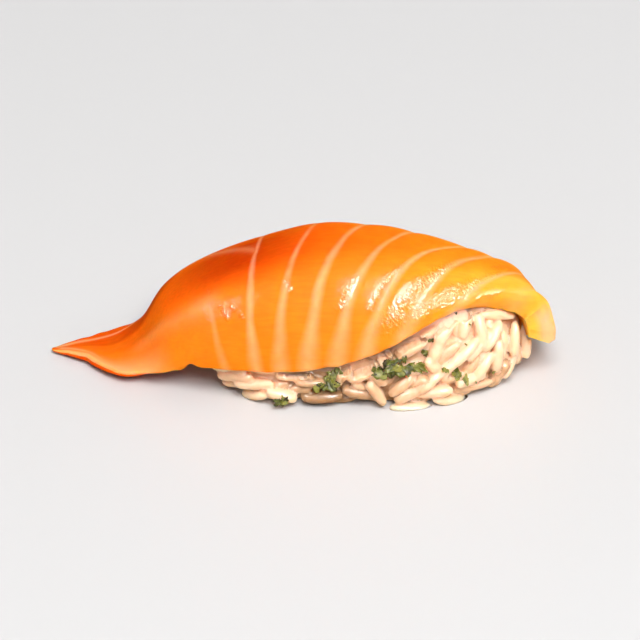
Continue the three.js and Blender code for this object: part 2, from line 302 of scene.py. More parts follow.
# Painted highlights, as pale streaks: on the rolled margin's ridge, on a fold near the tail's tip, and on a
# crease on the back. Their places are given by X and a share of the way across.
PAINTED_HIGHLIGHT_STREAKS = [
    Streak((-28.0, 0.31), (-22.4, 0.27), 1.4, 1.9, 0.1),
    Streak((-23.6, 0.27), (-19.0, 0.27), 1.8, 2.1, 0.13),
    Streak((-18.6, 0.28), (-16.0, 0.31), 1.9, 1.5, 0.22),
    Streak((-42.4, 0.5), (-38.3, 0.25), 0.4, 0.5, 0.35),
    Streak((-38.3, 0.25), (-33.5, 0.08), 0.5, 0.6, 0.3),
    Streak((-43.4, 0.8), (-30.0, 0.86), 0.3, 0.4, 0.4),
    Streak((-16.1, 0.62), (-8.4, 0.5), 0.9, 0.6, 0.2),
]
# painted light: the tail's near margin is painted paler, towards the fat colour
TAIL_MARGIN_PAINTED_PALE = 0.5
TAIL_MARGIN_REACH = (0.12, 0.25)  # along, where the painted paleness of the tail's near margin ends
END_RIM_PAINTED_HIGHLIGHT = 0.85  # painted highlight: how pale the outer side of the hanging end is
END_HIGHLIGHT_FROM_TO = (0.9, 0.96)  # along

# The ridge where the tail's near margin rolls down: places along and across, and its height there.
RIDGE = [
    (0.04, 0.33, 0.0),
    (0.07, 0.33, 0.3),
    (0.115, 0.36, 0.5),
    (0.165, 0.325, 0.7),
    (0.215, 0.268, 0.8),
    (0.255, 0.266, 0.8),
    (0.29, 0.287, 0.7),
    (0.335, 0.31, 0.3),
    (0.38, 0.34, 0.0),
]
RIDGE_REACH = 2.0
HOLLOW_SHARE = 0.4  # of the ridge's height, that both its sides sink
HOLLOW_REACH = 5.0

# Tones of the flesh on the near side and on the back: place along, and tone, 0 red to 1 amber. They are partly
# the flesh's own colour and partly painted light: painted shade makes the back redder and darker, and the flesh
# grows paler towards the brightly lit hanging end.
FRONT_TONES_AND_PAINTED_LIGHT = [(0, 0.3), (0.2, 0.42), (0.4, 0.52), (0.55, 0.58), (0.7, 0.78), (0.85, 0.88), (1, 0.82)]
BACK_TONES_AND_PAINTED_SHADE = [(0, 0.14), (0.12, 0.08), (0.22, 0.04), (0.3, 0.02), (0.4, 0), (0.5, 0.14), (0.62, 0.34), (1, 0.7)]
TAIL_FAR_REACH = (0.2, 0.35)  # along, where the far side of the tail stops being as red as its back
TAIL_MARGIN_PAINTED_LIGHT = 0.15  # painted light: how much lighter the tail is along its near cut
TAIL_WALL_PAINTED_SHADE = 0.35  # painted shade: how much redder and darker the cut edges and the underside of the tail are
END_WALL_PAINTED_LIGHT = 0.25  # painted light: how much lighter the near cut of the hanging end is
END_WALL_FROM_TO = (0.88, 0.95)  # along

FLAKE_SLOPE = 0.04  # of a flake's width, that it bulges
FLAKE_SKEW = 0.7  # under 1 puts a flake's summit nearer the tail
FLAKES_FROM = (2.5, 6.0)  # the phases between which the bulges grow
GROOVE_DEPTH = 0.1
GROOVE_HALF_WIDTH = 0.8
WAVE_SIZE = 9.0
WAVE_DEPTH = 0.16
CUT_WANDER = 0.24  # of the knife, along the cut edges
CUT_WANDER_SIZE = 2.4
NICK = {"x": -19.4, "reach": 1.0, "height": 0.02}  # a small nick in the near cut; height across
RIM_SHARE = 0.4  # of the flesh's thickness, as the radius of its rim
RIM_MOST = 0.55
ROLL_MOST = 2.2  # radius of the near rim over the bare end of the rice, where it rolls over softly
ROLL_FROM_TO = (0.68, 0.78)  # along

FLESH_ALONG = 280  # faces of the mesh
FLESH_ACROSS = 120
FLESH_WALL_CUTS = 2
CROWDING = 0.35  # how much the rows of faces crowd towards the slice's rim


def line_place(line, across):
    """Where a line of fat is (X) at a place across the slice."""
    s = across * 2
    on_front = min(s, 1.0)
    place = line.foot * (1 - on_front) * (1 - 2 * on_front)
    place += line.middle * 4 * on_front * (1 - on_front)
    place += line.crest * on_front * (2 * on_front - 1)
    course = line.foot - 4 * line.middle + 3 * line.crest
    return place + course * FAR_SWEEP * (1 - exp((on_front - s) / FAR_SWEEP))


def fat_phase(x, across):
    """Where a point lies between the lines of fat: the phase is 1 on the first line, 2 on the second,
    and so on. Also the gap in mm between the two lines beside it."""
    places = [line_place(line, across) for line in FAT_LINES]
    if x < places[0]:
        return 1 + (x - places[0]) / GAP_BEFORE_FIRST, GAP_BEFORE_FIRST
    if x >= places[-1]:
        return len(places) + (x - places[-1]) / GAP_AFTER_LAST, GAP_AFTER_LAST
    i = max(k for k, place in enumerate(places) if place <= x)
    gap = places[i + 1] - places[i]
    return i + 1 + (x - places[i]) / gap, gap


def fat_numbers(phase, across):
    """The width and strength of the line of fat nearest to a phase."""
    i = round(phase) - 1
    if not 0 <= i < len(FAT_LINES):
        return 1.0, 0.0
    line = FAT_LINES[i]
    strength = line.strength
    if i == 0:
        strength *= 1 - smoothstep(across, 0.28, 0.4)
    spread = 1 + FOOT_SPREAD * (1 - smoothstep(across, 0.0, FOOT_SPREAD_REACH))
    fading = lerp(1.0, CREST_SHARE, smoothstep(across, FOOT_SPREAD_REACH, 0.5))
    return line.width * spread * fading, strength / spread**0.5 * fading


def crowd(share):
    return lerp(share, 0.5 - 0.5 * cos(pi * share), CROWDING)


def rim_drop(from_side, side_radius, from_end, end_radius):
    """How far a face of the slice has rounded off, at its distances from the long and the end cuts."""
    side = max(0.0, 1 - from_side / side_radius)
    end = max(0.0, 1 - from_end / end_radius)
    if side + end == 0:
        return 0.0
    radius = (side_radius * side + end_radius * end) / (side + end)
    return radius * (1 - sqrt(max(0.0, 1 - side**2 - end**2)))


def most_of(streaks, place, across, unit, girth):
    """The strongest of some streaks at a place of the upper side. The unit and the girth turn
    the streaks' two numbers for a place into mm."""
    most = 0.0
    for streak in streaks:
        run = Vector(((streak.end[0] - streak.start[0]) * unit, (streak.end[1] - streak.start[1]) * girth))
        off = Vector(((place - streak.start[0]) * unit, (across - streak.start[1]) * girth))
        share = min(max(off.dot(run) / run.dot(run), 0.0), 1.0)
        reach = lerp(streak.start_reach, streak.end_reach, share)
        most = max(most, streak.strength * hill((off - run * share).length, 0, reach))
    return most


def painted_paleness(along, across, x, girth):
    """How pale a place of the upper side is painted, from 0 for plain flesh to 1 for fat: all of it painted
    light and painted highlights.
    """
    tail = 1 - smoothstep(along, *TAIL_MARGIN_REACH)
    # painted light on the tail's near margin
    margin = TAIL_MARGIN_PAINTED_PALE * tail * (1 - smoothstep(across, 0.0, 0.3))
    # painted highlight on the outer side of the hanging end
    skin = END_RIM_PAINTED_HIGHLIGHT * smoothstep(along, *END_HIGHLIGHT_FROM_TO)
    # painted highlights on the ridge, the folds and the crease
    return max(margin, skin, most_of(PAINTED_HIGHLIGHT_STREAKS, x, across, 1.0, girth))


def ridge_height(along, across, girth):
    """The ridge of the rolled margin, with a slight hollow on both its sides."""
    if not RIDGE[0][0] < along < RIDGE[-1][0]:
        return 0.0
    i = max(k for k, place in enumerate(RIDGE) if place[0] <= along)
    share = (along - RIDGE[i][0]) / (RIDGE[i + 1][0] - RIDGE[i][0])
    middle = lerp(RIDGE[i][1], RIDGE[i + 1][1], share)
    height = lerp(RIDGE[i][2], RIDGE[i + 1][2], share)
    off = (across - middle) * girth
    return height * (hill(off, 0, RIDGE_REACH) - HOLLOW_SHARE * hill(off, 0, HOLLOW_REACH))


def flesh_relief(point, across, phase, gap):
    """How far the upper side stands off its smooth drape: flakes between grooves, and soft waves."""
    off_line = abs(phase - round(phase)) * gap
    _, strength = fat_numbers(phase, across)
    groove = -GROOVE_DEPTH * strength * hill(off_line, 0, GROOVE_HALF_WIDTH)
    summit = sin(pi * (phase % 1) ** FLAKE_SKEW)
    bulge = FLAKE_SLOPE * min(gap, 9.0) * smoothstep(phase, *FLAKES_FROM) * summit
    wave = WAVE_DEPTH * noise.noise(point / WAVE_SIZE)
    return groove + bulge + wave


def flesh_tone(along, across):
    """The flesh's colour at a place, from 0 for the deepest red to 1 for amber: partly its own tone and partly
    painted light, with painted shade that reddens the back.
    """
    front = profile_at(FRONT_TONES_AND_PAINTED_LIGHT, along)
    back = profile_at(BACK_TONES_AND_PAINTED_SHADE, along)
    # painted light: lighter along the tail's near cut
    margin = TAIL_MARGIN_PAINTED_LIGHT * (1 - smoothstep(across, 0.0, 0.28)) * (1 - smoothstep(along, 0.2, 0.4))
    on_tail = 1 - smoothstep(along, *TAIL_FAR_REACH)
    # painted shade: the back, and on the tail its far side as well, are redder and darker
    on_back = smoothstep(min(across, 1 - across), 0.26, 0.46) * (1 - 0.6 * on_tail)
    on_back = max(on_back, smoothstep(across, 0.46, 0.62) * on_tail)
    return lerp(front, back, on_back) + margin


FleshPoint = namedtuple("FleshPoint", "place phase gap width strength wet tone pale")
FLESH_ATTRIBUTES = {
    "fat_gap": "gap",
    "fat_width": "width",
    "fat_strength": "strength",
    "wet_grain": "wet",
    "flesh_tone": "tone",
    "flesh_pale": "pale",
}


def flesh_point(along, across, depth):
    """A point of the finished slice, depth being 0 on its upper side and 1 on its lower side, with
    what the flesh is like there."""
    section = section_at(along)
    nick = NICK["height"] * hill(section.near.x, NICK["x"], NICK["reach"])
    across_cut = across + nick * (1 - across) ** 6
    smooth_top = upper_side(along, across_cut)
    normal = upper_normal(along, across_cut)
    phase, gap = fat_phase(smooth_top.x, across_cut)
    girth = 2.2 * (section.crest - section.near).length
    thick = flesh_thickness(along, across_cut)
    radius = min(RIM_MOST, thick * RIM_SHARE)
    from_side = min(across, 1 - across) * girth
    from_end = min(along, 1 - along) * CREST_LENGTH
    top_radius = lerp(radius, ROLL_MOST, smoothstep(along, *ROLL_FROM_TO)) if across < 0.5 else radius
    top_drop = rim_drop(from_side, top_radius, from_end, radius)
    inner = smoothstep(min(from_side, from_end), 0.0, 2.5)
    relief = flesh_relief(smooth_top, across_cut, phase, gap)
    relief += ridge_height(along, across_cut, girth)
    top = smooth_top + normal * (relief * inner - top_drop)
    bottom = lower_side(along, across_cut) + normal * rim_drop(from_side, radius, from_end, radius)
    point = top.lerp(bottom, depth)
    point += CUT_WANDER * (1 - inner) * noise.noise_vector(smooth_top / CUT_WANDER_SIZE)
    point.z = max(point.z, FLOOR_GAP)
    wet = most_of(WET_STREAKS, phase, across_cut, gap, girth) * (1 - depth)
    on_wall = min(1.0, depth * 3) * (1 - smoothstep(across, 0.0, 0.3))
    tone = flesh_tone(along, across)
    # painted light on the near cut of the hanging end
    tone += END_WALL_PAINTED_LIGHT * smoothstep(along, *END_WALL_FROM_TO) * on_wall
    # painted shade on the cut edges and the underside of the tail
    tone -= TAIL_WALL_PAINTED_SHADE * (1 - smoothstep(along, *TAIL_FAR_REACH)) * min(1.0, depth * 3)
    # painted light and painted highlights, fading down the cut walls
    pale = painted_paleness(along, across_cut, smooth_top.x, girth) * max(0.0, 1 - depth * 2)
    return FleshPoint(point, phase, gap, *fat_numbers(phase, across_cut), wet, tone, pale)


def slice_bmesh():
    """The slice as one closed mesh: a flat slab of faces, bent to the drape point by point."""
    bm = bmesh.new()
    bmesh.ops.create_grid(bm, x_segments=FLESH_ALONG, y_segments=FLESH_ACROSS, size=0.5)
    made = bmesh.ops.extrude_face_region(bm, geom=bm.faces[:])
    lower = [item for item in made["geom"] if isinstance(item, bmesh.types.BMVert)]
    bmesh.ops.translate(bm, verts=lower, vec=(0, 0, -1))
    walls = [edge for edge in bm.edges if abs(edge.verts[0].co.z - edge.verts[1].co.z) > 0.5]
    bmesh.ops.subdivide_edges(bm, edges=walls, cuts=FLESH_WALL_CUTS)
    bmesh.ops.recalc_face_normals(bm, faces=bm.faces[:])
    layers = {name: bm.verts.layers.float.new(name) for name in FLESH_ATTRIBUTES}
    lamella = bm.loops.layers.uv.new("lamella")
    for vert in bm.verts:
        across = crowd(vert.co.y + 0.5)
        found = flesh_point(crowd(vert.co.x + 0.5), across, -vert.co.z)
        vert.co = found.place * MM
        for name, field in FLESH_ATTRIBUTES.items():
            vert[layers[name]] = getattr(found, field)
        for loop in vert.link_loops:
            loop[lamella].uv = (found.phase, across)
    return bm


def raw_salmon(settings):
    """Raw salmon, freshly cut with a wet knife. The flesh is translucent, so light goes a few mm into
    it and comes out orange; the lines of fat are pale and denser, with soft edges; and a film of
    moisture gives it a clear shine that breaks up where the cut has roughened the surface."""
    material, tree, output = new_material("raw_salmon")
    place = add_node(tree, "ShaderNodeTexCoord").outputs["Object"]
    lamella = add_node(tree, "ShaderNodeUVMap", uv_map="lamella").outputs["UV"]
    split = add_node(tree, "ShaderNodeSeparateXYZ", {"Vector": lamella})
    gap = add_node(tree, "ShaderNodeAttribute", attribute_name="fat_gap").outputs["Fac"]
    width = add_node(tree, "ShaderNodeAttribute", attribute_name="fat_width").outputs["Fac"]
    strength = add_node(tree, "ShaderNodeAttribute", attribute_name="fat_strength").outputs["Fac"]

    # the lines of fat wander a little, and their edges are soft
    wander = add_node(
        tree, "ShaderNodeTexNoise", {"Vector": place, "Scale": per_mm(7.0), "Detail": 2.0}
    ).outputs["Fac"]
    wandered = add_node(
        tree, "ShaderNodeMath", {0: wander, 1: 0.12, 2: split.outputs["X"]}, operation="MULTIPLY_ADD"
    ).outputs[0]
    phase = add_node(
        tree, "ShaderNodeMath", {0: wandered, 1: 0.06}, operation="SUBTRACT"
    ).outputs[0]
    nearest = add_node(tree, "ShaderNodeMath", {0: phase}, operation="ROUND").outputs[0]
    off_phase = add_node(
        tree, "ShaderNodeMath", {0: phase, 1: nearest}, operation="SUBTRACT"
    ).outputs[0]
    off_abs = add_node(tree, "ShaderNodeMath", {0: off_phase}, operation="ABSOLUTE").outputs[0]
    off_line = add_node(
        tree, "ShaderNodeMath", {0: off_abs, 1: gap}, operation="MULTIPLY"
    ).outputs[0]
    in_widths = add_node(
        tree, "ShaderNodeMath", {0: off_line, 1: width}, operation="DIVIDE"
    ).outputs[0]
    band = add_node(
        tree,
        "ShaderNodeMapRange",
        {"Value": in_widths, "From Min": 0.0, "From Max": 1.15, "To Min": 0.8, "To Max": 0.0},
        interpolation_type="SMOOTHSTEP",
    ).outputs["Result"]
    patchy = add_node(
        tree, "ShaderNodeTexNoise", {"Vector": place, "Scale": per_mm(2.5), "Detail": 3.0}
    ).outputs["Fac"]
    patches = add_node(
        tree,
        "ShaderNodeMapRange",
        {"Value": patchy, "From Min": 0.3, "From Max": 0.7, "To Min": 0.7, "To Max": 1.0},
    ).outputs["Result"]
    strong = add_node(
        tree, "ShaderNodeMath", {0: band, 1: strength}, operation="MULTIPLY"
    ).outputs[0]
    line_fat = add_node(
        tree, "ShaderNodeMath", {0: strong, 1: patches}, operation="MULTIPLY"
    ).outputs[0]
    # painted light and painted highlights, which take the fat colour
    pale = add_node(tree, "ShaderNodeAttribute", attribute_name="flesh_pale").outputs["Fac"]
    fat = add_node(tree, "ShaderNodeMath", {0: line_fat, 1: pale}, operation="MAXIMUM").outputs[0]

    # the flesh is reddest on the shoulder and palest at the hanging end, partly its own tone and partly painted
    # light and shade, with fine fibres along it
    tone_and_light = add_node(tree, "ShaderNodeAttribute", attribute_name="flesh_tone").outputs["Fac"]
    cloud = add_node(
        tree, "ShaderNodeTexNoise", {"Vector": place, "Scale": per_mm(9.0), "Detail": 3.0}
    ).outputs["Fac"]
    shifted = add_node(
        tree, "ShaderNodeMath", {0: cloud, 1: 0.16, 2: tone_and_light}, operation="MULTIPLY_ADD"
    ).outputs[0]
    tone = add_node(
        tree, "ShaderNodeMath", {0: shifted, 1: 0.08}, operation="SUBTRACT"
    ).outputs[0]
    flesh = add_node(tree, "ShaderNodeValToRGB", {"Fac": tone})
    set_ramp(
        flesh,
        [
            (0.0, settings.deep_colour),
            (0.25, settings.red_colour),
            (0.5, settings.orange_colour),
            (0.75, settings.light_colour),
            (1.0, settings.amber_colour),
        ],
    )
    stretched = add_node(
        tree, "ShaderNodeMapping", {"Vector": place, "Scale": (0.12, 1.0, 1.0)}
    ).outputs["Vector"]
    fibres = add_node(
        tree, "ShaderNodeTexNoise", {"Vector": stretched, "Scale": per_mm(0.55), "Detail": 2.0}
    ).outputs["Fac"]
    fibre_value = add_node(
        tree,
        "ShaderNodeMapRange",
        {"Value": fibres, "From Min": 0.3, "From Max": 0.7, "To Min": 0.93, "To Max": 1.05},
    ).outputs["Result"]
    grained = add_node(
        tree, "ShaderNodeHueSaturation", {"Color": flesh.outputs["Color"], "Value": fibre_value}
    ).outputs["Color"]
    colour = add_node(
        tree,
        "ShaderNodeMix",
        {"Factor": fat, 6: grained, 7: settings.fat_colour},
        data_type="RGBA",
    ).outputs[2]

    # the surface is smooth and barely wet, but for streaks with a fine pebbled grain under a thick
    # film of moisture, which sparkle
    wet = add_node(tree, "ShaderNodeAttribute", attribute_name="wet_grain").outputs["Fac"]
    pebbles = add_node(
        tree, "ShaderNodeTexNoise", {"Vector": place, "Scale": per_mm(0.5), "Detail": 1.5}
    ).outputs["Fac"]
    graininess = add_node(
        tree, "ShaderNodeMapRange", {"Value": wet, "To Min": 0.05, "To Max": 1.0}
    ).outputs["Result"]
    grain = add_node(
        tree, "ShaderNodeMath", {0: pebbles, 1: graininess}, operation="MULTIPLY"
    ).outputs[0]
    ripples = add_node(
        tree, "ShaderNodeTexNoise", {"Vector": stretched, "Scale": per_mm(1.3), "Detail": 1.0}
    ).outputs["Fac"]
    rippled = add_node(
        tree, "ShaderNodeBump", {"Height": ripples, "Strength": 0.4, "Distance": 0.12 * MM}
    ).outputs["Normal"]
    pebbled = add_node(
        tree,
        "ShaderNodeBump",
        {"Height": grain, "Strength": 1.0, "Distance": 0.36 * MM, "Normal": rippled},
    ).outputs["Normal"]
    film = add_node(
        tree, "ShaderNodeMapRange", {"Value": wet, "From Max": 0.4, "To Min": 0.03, "To Max": 1.0}
    ).outputs["Result"]
    shader = add_node(
        tree,
        "ShaderNodeBsdfPrincipled",
        {
            "Base Color": colour,
            "Roughness": 0.42,
            "IOR": 1.38,
            "Specular IOR Level": 0.05,
            "Subsurface Weight": 1.0,
            "Subsurface Radius": (1.0, 0.35, 0.08),
            "Subsurface Scale": settings.light_depth,
            "Coat Weight": film,
            "Coat Roughness": 0.05,
            "Coat IOR": 1.6,
            "Normal": pebbled,
            "Coat Normal": pebbled,
        },
    )
    tree.links.new(shader.outputs["BSDF"], output.inputs["Surface"])
    return material


# ---- The loaf of rice, as in the solids ----

LOAF_MIDDLE = Vector((10.8, -0.9, 6.6))
LOAF_HALF_SIZE = (27.6, 12.1, 15.0)
LOAF_BOXINESS = 2.4
LOAF_FLAT_SHARE = 0.5  # of the half length, that stands flat
LOAF_END_RISE = 7.0  # of the underside, towards both ends
LOAF_BULGE = {"x": 9.0, "reach": 8.0, "depth": 1.8, "full": -3.0, "none": 6.0}  # of the near foot
LOAF_PLACE = Matrix.Translation(LOAF_MIDDLE) @ Matrix.Rotation(radians(4.5), 4, "Z")


def loaf_point(direction, inset=0.0):
    """The loaf's surface in a direction from its middle, in the loaf's own frame: flat where it
    stands, with an underside that rises to its ends like a boat's."""
    radius = sum(abs(part) ** LOAF_BOXINESS for part in direction) ** (-1 / LOAF_BOXINESS)
    point = Vector([part * radius * (half - inset) for part, half in zip(direction, LOAF_HALF_SIZE)])
    past_flat = max(0.0, abs(point.x) / LOAF_HALF_SIZE[0] - LOAF_FLAT_SHARE)
    underside = LOAF_END_RISE * (past_flat / (1 - LOAF_FLAT_SHARE)) ** 2 - LOAF_MIDDLE.z
    swell = hill(point.x, LOAF_BULGE["x"], LOAF_BULGE["reach"])
    bulge = LOAF_BULGE["depth"] * swell
    bulge *= 1 - smoothstep(point.z, LOAF_BULGE["full"], LOAF_BULGE["none"])
    point.z = max(point.z, underside + inset)
    point.y += bulge * min(point.y, 0) / LOAF_HALF_SIZE[1]
    return point


def loaf_normal(point):
    parts = []
    for part, half in zip(point, LOAF_HALF_SIZE):
        share = part / half
        sign = 1 if share >= 0 else -1
        parts.append(sign * abs(share) ** (LOAF_BOXINESS - 1) / half)
    return (LOAF_PLACE.to_3x3() @ Vector(parts)).normalized()


class Press:
    """The slice's underside, which presses the rice into shape."""

    GAP = 0.06
    REACH = 4.0
    STEPS = (110, 56)

    def __init__(self):
        bm = bmesh.new()
        bmesh.ops.create_grid(bm, x_segments=self.STEPS[0], y_segments=self.STEPS[1], size=0.5)
        self.across = [face.calc_center_median().y + 0.5 for face in bm.faces]
        for vert in bm.verts:
            vert.co = lower_side(vert.co.x + 0.5, vert.co.y + 0.5)
        bmesh.ops.reverse_faces(bm, faces=bm.faces[:])
        bm.normal_update()
        self.tree = BVHTree.FromBMesh(bm)
        bm.free()

    def depth(self, point):
        """How far a point is inside the flesh, with the way out; 0 if it isn't under the slice."""
        found, normal, _, distance = self.tree.find_nearest(point)
        off = point - found
        inward = -off.dot(normal)
        if inward <= 0 or distance > self.REACH or inward < 0.75 * distance:
            return 0.0, normal
        return inward, normal

    def pressed(self, point, room=0.0):
        """The point moved out of the flesh, and as far as room below it."""
        inward, normal = self.depth(point)
        if inward > 0:
            return point + normal * (inward + self.GAP + room)
        return point.copy()

    def covers(self, point):
        """Whether the underside lies between a point and the loaf's long axis, which it never does
        for a point in the rice."""
        way = Vector((point.x, LOAF_MIDDLE.y, LOAF_MIDDLE.z)) - point
        return self.tree.ray_cast(point, way, way.length)[0] is not None

    def hides(self, point, thick):
        """Whether a grain there can't be seen, because it is well under the slice."""
        _, _, i, distance = self.tree.find_nearest(point)
        return distance < thick and COVERED_ACROSS[0] < self.across[i] < COVERED_ACROSS[1]


# ---- The grains ----

# Grains that show on the near side, placed as they are seen by someone who looks down at it from the front by
# FRONT_TILT: x along and h up the sight, how far the grain is turned, its length and thickness, how far its
# middle stands off the loaf, and its shade, from 0 for the brownest to 1. The shades are partly the grains' own
# and partly painted light and shade: lower where the slice shades the rice, higher along the lit bottom row.
FRONT_TILT = radians(33)
FrontGrain = namedtuple("FrontGrain", "x h turn long thick lift shade")
FRONT_GRAINS = [
    # the stack at the left end, mostly lying
    FrontGrain(-11.6, -1.9, -4, 7.2, 2.4, 0.3, 0.35),
    FrontGrain(-8.4, -3.1, -2, 7.4, 2.3, 0.6, 0.55),
    FrontGrain(-8.0, -4.7, -5, 6.4, 2.2, 0.7, 0.6),
    FrontGrain(-3.6, -4.7, -16, 5.6, 2.7, 1.0, 0.95),
    FrontGrain(-6.3, -6.0, -10, 6.4, 2.1, 0.6, 0.6),
    FrontGrain(-1.6, -2.0, -3, 6.6, 2.0, 0.2, 0.35),
    FrontGrain(1.2, -3.0, -6, 5.4, 2.3, 0.3, 0.5),
    FrontGrain(6.5, -2.3, 55, 5.0, 2.0, 0.2, 0.6),
    FrontGrain(3.2, -5.3, 2, 7.4, 2.6, 0.5, 0.3),
    FrontGrain(9.2, -4.7, -14, 5.2, 2.5, 0.4, 0.45),
    # the middle, with the wet cluster
    FrontGrain(10.2, -1.6, 18, 5.6, 2.4, 0.6, 0.75),
    FrontGrain(12.6, -1.9, -38, 5.0, 2.4, 0.5, 0.7),
    FrontGrain(12.7, -4.5, -54, 5.6, 2.4, 0.9, 0.8),
    FrontGrain(18.4, 2.7, 29, 6.8, 2.5, 0.4, 0.3),
    FrontGrain(16.9, -3.7, 40, 5.6, 2.2, 0.3, 0.45),
    FrontGrain(18.2, -4.9, 22, 5.6, 2.4, 0.6, 0.6),
    FrontGrain(18.5, -6.9, 2, 7.5, 2.2, 0.9, 1.0),
    FrontGrain(21.5, -3.0, 38, 6.0, 2.4, 0.7, 0.6),
    FrontGrain(22.8, -0.8, -44, 5.8, 2.3, 0.6, 0.55),
    FrontGrain(25.2, -5.7, -3, 7.4, 2.3, 0.8, 1.0),
    # the bare end, where the grains stand
    FrontGrain(22.9, 2.7, 66, 5.4, 2.4, 0.5, 0.7),
    FrontGrain(24.3, 6.1, 62, 6.0, 2.8, 0.7, 0.75),
    FrontGrain(27.8, 7.4, 80, 6.2, 2.4, 0.5, 0.7),
    FrontGrain(30.3, 6.2, 100, 6.0, 2.4, 0.6, 0.85),
    FrontGrain(33.3, 8.5, -4, 6.9, 2.0, 0.7, 0.8),
    FrontGrain(32.3, 5.0, 60, 6.0, 2.4, 0.8, 0.95),
    FrontGrain(27.6, 2.2, 47, 6.8, 2.4, 0.8, 0.85),
    FrontGrain(30.0, 3.2, 52, 6.4, 2.4, 0.5, 0.8),
    FrontGrain(33.2, 1.6, 84, 6.4, 2.3, 0.8, 0.9),
    FrontGrain(35.9, 4.5, 88, 6.6, 2.1, 0.9, 0.95),
    FrontGrain(37.9, 4.4, 91, 7.2, 2.2, 0.9, 0.95),
    FrontGrain(38.6, 7.3, 4, 6.0, 1.8, 0.4, 0.8),
    FrontGrain(30.6, -0.3, 58, 6.4, 2.4, 0.8, 0.9),
    FrontGrain(28.6, -2.2, 20, 6.0, 2.4, 0.8, 0.95),
    FrontGrain(33.6, -1.6, 66, 6.2, 2.4, 0.7, 0.9),
    FrontGrain(35.9, 0.4, 50, 6.0, 2.3, 0.6, 0.95),
    FrontGrain(24.8, -0.6, 40, 6.2, 2.4, 0.5, 0.7),
]

GRAIN_SPREAD = 0.12  # of a grain's size
GRAIN_BENDS = 0.35  # the most that a grain bows
GRAIN_SIDES = (14, 12)
GRAIN_BLUNTNESS = 0.75  # 1 is an ellipsoid
GRAIN_BEADS = (-0.4, -0.2, 0.0, 0.2, 0.4)  # of its length, where a grain's room is tested
SWING = radians(50)  # most that a grain turns off its stretch's lie
LEAN = radians(18)
UPRIGHT_TURN = radians(75)  # of the grains at the covered end, which stand
UPRIGHT_FROM_TO = (8.0, 22.0)  # along the loaf from its middle
FOOT_HEIGHT = 2.2  # below which grains lie level
# the layers of grains: height off the loaf, tries, and how close two grains come, of their thickness
LAYERS = ((0.35, 7000, 0.6), (-0.4, 6000, 0.5))
# painted light and shade along the loaf (X): how much lighter the grains are than their own shade, darker in
# the middle where the slice shades the rice and lighter at both ends
PAINTED_LIGHT_ALONG = [(-40, 0.25), (-6, 0.2), (1, -0.35), (13, -0.35), (20, 0.2), (50, 0.3)]

CORE_INSET = 0.45  # of the mass of rice behind the grains
CORE_DETAIL = 4
CORE_SHADE = 0.45
COVERED_ACROSS = (0.16, 0.84)  # between which the slice hides the rice under it
MELD_SIZE = 0.22  # of the faces in which sticky grains run together
MELD_FACES = 190000  # the most triangles that are kept
SKIN_BEADS = (-0.44, -0.33, -0.22, -0.11, 0.0, 0.11, 0.22, 0.33, 0.44)
SEAM_REACH = 0.22  # on both sides of where two grains meet
SEAM_DEPTH = 0.1

Grain = namedtuple("Grain", "middle axis long thick shade bow")


def front_grains(loaf_tree):
    """The grains of the near side, laid on the loaf along the sight."""
    up = Vector((0, sin(FRONT_TILT), cos(FRONT_TILT)))
    sight = Vector((0, cos(FRONT_TILT), -sin(FRONT_TILT)))
    placed = []
    for i, row in enumerate(FRONT_GRAINS):
        start = Vector((row.x, 0, 0)) + up * row.h - sight * 100
        found, normal, _, _ = loaf_tree.ray_cast(start, sight)
        if found is None:
            found, normal, _, _ = loaf_tree.find_nearest(Vector((row.x, 0, 0)) + up * row.h)
        turn = radians(row.turn)
        aim = Vector((cos(turn), 0, 0)) + up * sin(turn)
        facing = min(sight.dot(normal), -0.35)
        axis = (aim - sight * (aim.dot(normal) / facing)).normalized()
        bow = GRAIN_BENDS * (0.5 if i % 3 else -0.6)
        middle = found + normal * row.lift
        placed.append(Grain(middle, axis, row.long, row.thick, row.shade, bow))
    return placed


def thrown_grains(settings, placed, press):
    """Grains thrown at the loaf one by one, in layers. Each is kept if it has room."""
    draw = random.Random(settings.seed)
    for lift, tries, closeness in LAYERS:
        for _ in range(tries):
            direction = Vector([draw.uniform(-1, 1) for _ in range(3)]).normalized()
            long = settings.grain_length / MM * (1 + GRAIN_SPREAD * draw.uniform(-1, 1))
            thick = settings.grain_thickness / MM * (1 + GRAIN_SPREAD * draw.uniform(-1, 1))
            swing, lean = SWING * draw.uniform(-1, 1), LEAN * draw.uniform(-1, 1)
            shade, bow = draw.random(), GRAIN_BENDS * draw.uniform(-1, 1)
            on_loaf = loaf_point(direction)
            upright = UPRIGHT_TURN * smoothstep(on_loaf.x, *UPRIGHT_FROM_TO)
            outward = loaf_normal(on_loaf)
            middle = LOAF_PLACE @ on_loaf + outward * lift
            middle = press.pressed(middle, thick * 0.5)
            at_foot = middle.z < FOOT_HEIGHT
            level = Vector((0, 0, 1)).cross(outward)
            if level.length < 1e-3:
                continue
            level.normalize()
            axis = Quaternion(outward, 0 if at_foot else upright + swing) @ level
            if not at_foot:
                axis = Quaternion(outward.cross(axis), lean) @ axis
            if at_foot:
                middle.z = max(middle.z, thick * 0.46)
            grain = Grain(middle, axis, long, thick, shade, bow)
            if press.covers(middle) or press.hides(middle, thick):
                continue
            if has_room(grain, placed, closeness):
                placed.append(grain)
    return placed


def beads(grain):
    return [grain.middle + grain.axis * (grain.long * share) for share in GRAIN_BEADS]


def has_room(grain, others, closeness):
    mine = beads(grain)
    for other in others:
        if (other.middle - grain.middle).length > (other.long + grain.long) / 2:
            continue
        clear = closeness * (grain.thick + other.thick) / 2
        if any((a - b).length < clear for a in mine for b in beads(other)):
            return False
    return True


